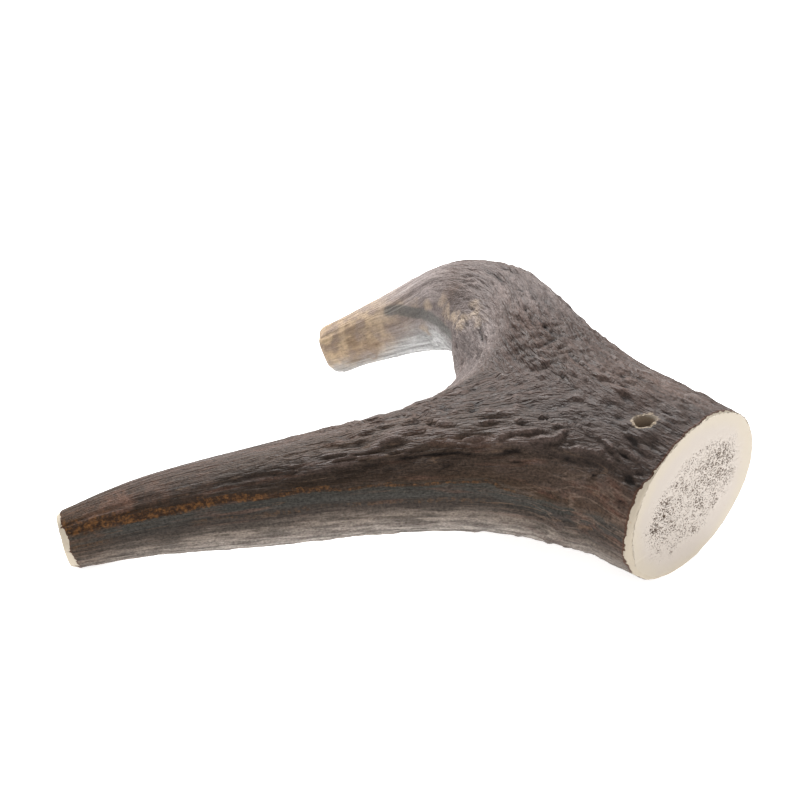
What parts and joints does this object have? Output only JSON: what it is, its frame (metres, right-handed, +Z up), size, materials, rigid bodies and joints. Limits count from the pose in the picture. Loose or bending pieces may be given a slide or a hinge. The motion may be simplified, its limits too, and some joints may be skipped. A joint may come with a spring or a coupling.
{
  "type": "deer antler",
  "caption": "Sawn length of forked deer antler with two tines, a spongy sawn base and a drilled cord hole, lying on the rim of its base and both tine tips.",
  "frame": {"origin": "on the surface the antler lies on, under the middle of its bounding box", "axes": "+X from the tine tips towards the sawn base, +Z up off the surface, +Y towards the short tine"},
  "size_m": [0.1726, 0.1163, 0.0423],
  "materials": {
    "antler": "satin"
  },
  "bodies": {
    "root": {"beam": "antler", "long_tine": "antler", "short_tine": "antler"}
  },
  "joints": []
}
